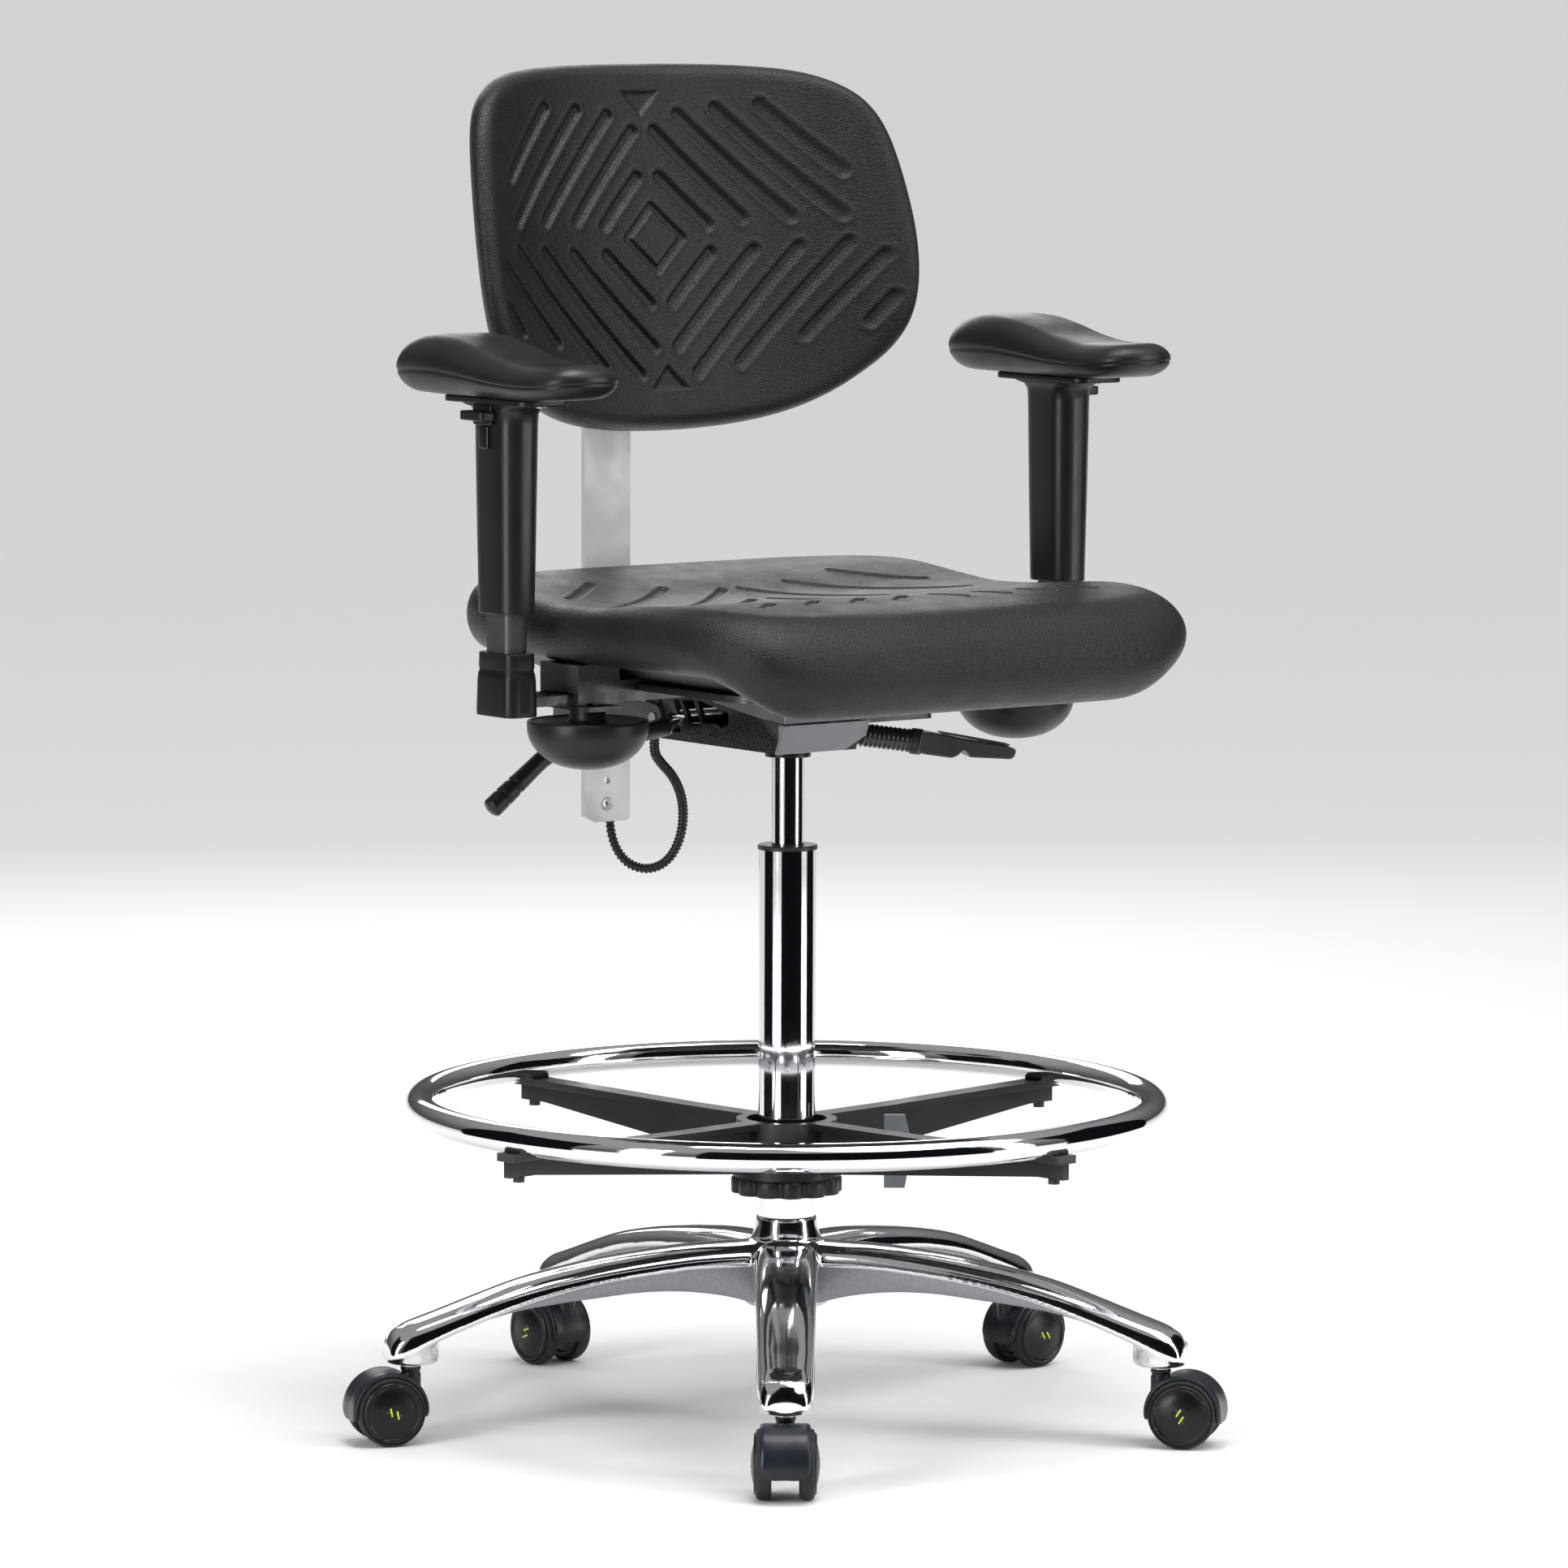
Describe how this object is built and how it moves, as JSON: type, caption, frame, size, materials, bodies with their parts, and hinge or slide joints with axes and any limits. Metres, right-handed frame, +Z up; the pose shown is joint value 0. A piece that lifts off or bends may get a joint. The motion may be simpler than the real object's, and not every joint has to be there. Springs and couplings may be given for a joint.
{
  "type": "drafting chair",
  "caption": "Tall gas-lift swivel chair with a foot ring, adjustable arms, moulded foam seat and back, and a five-leg base on casters.",
  "frame": {"origin": "on the floor under the axis of the column", "axes": "+Z up along the column, -Y the way the sitter faces, +X to the sitter's left"},
  "size_m": [0.7643, 0.7312, 1.1798],
  "materials": {
    "polished_aluminium": "polished",
    "chrome": "polished",
    "steel": "satin",
    "black_steel": "satin",
    "grey_casting": "satin",
    "bar_steel": "satin",
    "pan_plastic": "satin",
    "black_plastic": "satin",
    "caster_plastic": "satin",
    "wheel_tread": "satin",
    "grey_plastic": "satin",
    "lever_plastic": "satin",
    "foam_skin": "matte",
    "arm_foam": "satin",
    "cable_conduit": "satin"
  },
  "bodies": {
    "base": {"star_base": "polished_aluminium", "column_tube": "chrome", "column_bush": "black_plastic", "thrust_bearing": "steel", "caster_stems": "steel"},
    "swivel": {"piston_rod": "steel"},
    "mechanism": {"gas_cylinder": "chrome", "mechanism_body": "black_steel", "mechanism_cover": "grey_casting", "pivot_pins": "steel", "lever_pins": "steel", "control_cable": "cable_conduit"},
    "seat": {"seat_carrier": "grey_casting", "seat_plate": "pan_plastic", "seat_bolts": "steel", "seat_cushion": "foam_skin"},
    "back_support": {"back_bracket": "black_steel", "back_bar": "bar_steel", "cable_gland": "black_plastic"},
    "back": {"back_shell": "black_plastic", "back_cushion": "foam_skin", "back_screws": "steel"},
    "foot_ring": {"foot_ring": "chrome", "ring_spider": "black_plastic", "ring_screws": "steel"},
    "height_lever": {"height_lever": "steel", "height_lever_paddle": "lever_plastic"},
    "valve": {"valve_pin": "steel"},
    "tilt_lever": {"tilt_lever": "black_steel"},
    "back_lever": {"back_lever": "steel", "back_lever_grip": "lever_plastic"},
    "ring_grip": {"ring_grip": "black_plastic"},
    "ring_lock": {"ring_lock_knob": "grey_plastic"},
    "arm_frame_left": {"arm_rail_left": "black_steel", "arm_boot_left": "black_plastic"},
    "arm_top_left": {"arm_sleeve_left": "black_plastic", "arm_pad_left": "arm_foam"},
    "arm_button_left": {"arm_button_left": "black_plastic"},
    "arm_knob_left": {"arm_knob_left": "black_plastic"},
    "arm_frame_right": {"arm_rail_right": "black_steel", "arm_boot_right": "black_plastic"},
    "arm_top_right": {"arm_sleeve_right": "black_plastic", "arm_pad_right": "arm_foam"},
    "arm_button_right": {"arm_button_right": "black_plastic"},
    "arm_knob_right": {"arm_knob_right": "black_plastic"},
    "front_caster": {"front_caster_hood": "caster_plastic"},
    "front_wheel_left": {"front_caster_wheel_left": "wheel_tread"},
    "front_wheel_right": {"front_caster_wheel_right": "wheel_tread"},
    "front_right_caster": {"front_right_caster_hood": "caster_plastic"},
    "front_right_wheel_left": {"front_right_caster_wheel_left": "wheel_tread"},
    "front_right_wheel_right": {"front_right_caster_wheel_right": "wheel_tread"},
    "back_right_caster": {"back_right_caster_hood": "caster_plastic"},
    "back_right_wheel_left": {"back_right_caster_wheel_left": "wheel_tread"},
    "back_right_wheel_right": {"back_right_caster_wheel_right": "wheel_tread"},
    "back_left_caster": {"back_left_caster_hood": "caster_plastic"},
    "back_left_wheel_left": {"back_left_caster_wheel_left": "wheel_tread"},
    "back_left_wheel_right": {"back_left_caster_wheel_right": "wheel_tread"},
    "front_left_caster": {"front_left_caster_hood": "caster_plastic"},
    "front_left_wheel_left": {"front_left_caster_wheel_left": "wheel_tread"},
    "front_left_wheel_right": {"front_left_caster_wheel_right": "wheel_tread"}
  },
  "joints": [
    {"name": "seat_swivel", "type": "hinge", "parent": "base", "child": "swivel", "pos_m": [0, 0, 0.3], "axis": [0, 0, 1], "continuous": true},
    {"name": "seat_height", "type": "slide", "parent": "swivel", "child": "mechanism", "axis": [0, 0, 1], "range_m": [-0.075, 0.17]},
    {"name": "seat_tilt", "type": "hinge", "parent": "mechanism", "child": "seat", "pos_m": [0, 0.042, 0.642], "axis": [-1, 0, 0], "range_deg": [0, 7]},
    {"name": "back_tilt", "type": "hinge", "parent": "mechanism", "child": "back_support", "pos_m": [0, 0.134, 0.61], "axis": [-1, 0, 0], "range_deg": [-5, 15], "deforming": ["control_cable"]},
    {"name": "back_height", "type": "slide", "parent": "back_support", "child": "back", "axis": [0, 0, 1], "range_m": [-0.04, 0.05]},
    {"name": "arm_height_left", "type": "slide", "parent": "arm_frame_left", "child": "arm_top_left", "axis": [0, 0, 1], "range_m": [-0.03, 0.06]},
    {"name": "arm_height_right", "type": "slide", "parent": "arm_frame_right", "child": "arm_top_right", "axis": [0, 0, 1], "range_m": [-0.03, 0.06]},
    {"name": "arm_width_left", "type": "slide", "parent": "seat", "child": "arm_frame_left", "axis": [1, 0, 0], "range_m": [-0.012, 0.03]},
    {"name": "arm_width_right", "type": "slide", "parent": "seat", "child": "arm_frame_right", "axis": [-1, 0, 0], "range_m": [-0.012, 0.03]},
    {"name": "ring_height", "type": "slide", "parent": "base", "child": "foot_ring", "axis": [0, 0, 1], "range_m": [-0.012, 0.1]},
    {"name": "height_lever_lift", "type": "hinge", "parent": "mechanism", "child": "height_lever", "pos_m": [0.036, -0.0335, 0.606], "axis": [-0.3746, -0.9272, 0], "range_deg": [0, 5], "stiffness_Nm_per_rad": 6, "springref_deg": -11.46},
    {"name": "valve_press", "type": "slide", "parent": "mechanism", "child": "valve", "axis": [0, 0, 1], "range_m": [-0.005, 0]},
    {"name": "tilt_lever_lift", "type": "hinge", "parent": "mechanism", "child": "tilt_lever", "pos_m": [0.033, 0.012, 0.611], "axis": [0, -1, 0], "range_deg": [0, 7]},
    {"name": "back_lever_lift", "type": "hinge", "parent": "mechanism", "child": "back_lever", "pos_m": [-0.033, 0.11, 0.607], "axis": [0, 1, 0], "range_deg": [0, 7]},
    {"name": "arm_button_press_left", "type": "slide", "parent": "arm_top_left", "child": "arm_button_left", "axis": [-1, 0, 0], "range_m": [0, 0.0035], "stiffness_N_per_m": 400, "springref_m": -0.002},
    {"name": "arm_button_press_right", "type": "slide", "parent": "arm_top_right", "child": "arm_button_right", "axis": [1, 0, 0], "range_m": [0, 0.0035], "stiffness_N_per_m": 400, "springref_m": -0.002},
    {"name": "arm_knob_turn_left", "type": "hinge", "parent": "seat", "child": "arm_knob_left", "pos_m": [0.231, -0.025, 0.61], "axis": [0, 0, 1], "range_deg": [-180, 180]},
    {"name": "arm_knob_turn_right", "type": "hinge", "parent": "seat", "child": "arm_knob_right", "pos_m": [-0.231, -0.025, 0.61], "axis": [0, 0, 1], "range_deg": [-180, 180]},
    {"name": "ring_grip_turn", "type": "hinge", "parent": "foot_ring", "child": "ring_grip", "pos_m": [0, 0, 0.21], "axis": [0, 0, 1], "range_deg": [-30, 30]},
    {"name": "ring_lock_turn", "type": "hinge", "parent": "foot_ring", "child": "ring_lock", "pos_m": [0.04804, -0.03594, 0.239], "axis": [0.8007, -0.599, 0], "range_deg": [-90, 90]},
    {"name": "front_caster_swivel", "type": "hinge", "parent": "base", "child": "front_caster", "pos_m": [-0.20367, -0.27225, 0.055], "axis": [0, 0, 1], "continuous": true},
    {"name": "front_right_caster_swivel", "type": "hinge", "parent": "base", "child": "front_right_caster", "pos_m": [0.19599, -0.27783, 0.055], "axis": [0, 0, 1], "continuous": true},
    {"name": "back_right_caster_swivel", "type": "hinge", "parent": "base", "child": "back_right_caster", "pos_m": [0.3248, 0.10054, 0.055], "axis": [0, 0, 1], "continuous": true},
    {"name": "back_left_caster_swivel", "type": "hinge", "parent": "base", "child": "back_left_caster", "pos_m": [0.00475, 0.33997, 0.055], "axis": [0, 0, 1], "continuous": true},
    {"name": "front_left_caster_swivel", "type": "hinge", "parent": "base", "child": "front_left_caster", "pos_m": [-0.32186, 0.10957, 0.055], "axis": [0, 0, 1], "continuous": true},
    {"name": "front_wheel_spin_left", "type": "hinge", "parent": "front_caster", "child": "front_wheel_left", "pos_m": [-0.21685, -0.28986, 0.03], "axis": [0.8007, -0.599, 0], "continuous": true},
    {"name": "front_wheel_spin_right", "type": "hinge", "parent": "front_caster", "child": "front_wheel_right", "pos_m": [-0.21685, -0.28986, 0.03], "axis": [0.8007, -0.599, 0], "continuous": true},
    {"name": "front_right_wheel_spin_left", "type": "hinge", "parent": "front_right_caster", "child": "front_right_wheel_left", "pos_m": [0.21019, -0.29463, 0.03], "axis": [0.7638, 0.6455, 0], "continuous": true},
    {"name": "front_right_wheel_spin_right", "type": "hinge", "parent": "front_right_caster", "child": "front_right_wheel_right", "pos_m": [0.21019, -0.29463, 0.03], "axis": [0.7638, 0.6455, 0], "continuous": true},
    {"name": "back_right_wheel_spin_left", "type": "hinge", "parent": "back_right_caster", "child": "back_right_wheel_left", "pos_m": [0.34667, 0.10292, 0.03], "axis": [-0.108, 0.9942, 0], "continuous": true},
    {"name": "back_right_wheel_spin_right", "type": "hinge", "parent": "back_right_caster", "child": "back_right_wheel_right", "pos_m": [0.34667, 0.10292, 0.03], "axis": [-0.108, 0.9942, 0], "continuous": true},
    {"name": "back_left_wheel_spin_left", "type": "hinge", "parent": "back_left_caster", "child": "back_left_wheel_left", "pos_m": [0.00352, 0.36193, 0.03], "axis": [-0.9984, -0.0558, 0], "continuous": true},
    {"name": "back_left_wheel_spin_right", "type": "hinge", "parent": "back_left_caster", "child": "back_left_wheel_right", "pos_m": [0.00352, 0.36193, 0.03], "axis": [-0.9984, -0.0558, 0], "continuous": true},
    {"name": "front_left_wheel_spin_left", "type": "hinge", "parent": "front_left_caster", "child": "front_left_wheel_left", "pos_m": [-0.34269, 0.11666, 0.03], "axis": [-0.3223, -0.9466, 0], "continuous": true},
    {"name": "front_left_wheel_spin_right", "type": "hinge", "parent": "front_left_caster", "child": "front_left_wheel_right", "pos_m": [-0.34269, 0.11666, 0.03], "axis": [-0.3223, -0.9466, 0], "continuous": true}
  ],
  "couplings": [
    {"joint": "valve_press", "follows": "height_lever_lift", "m_per_rad": -0.0459}
  ]
}
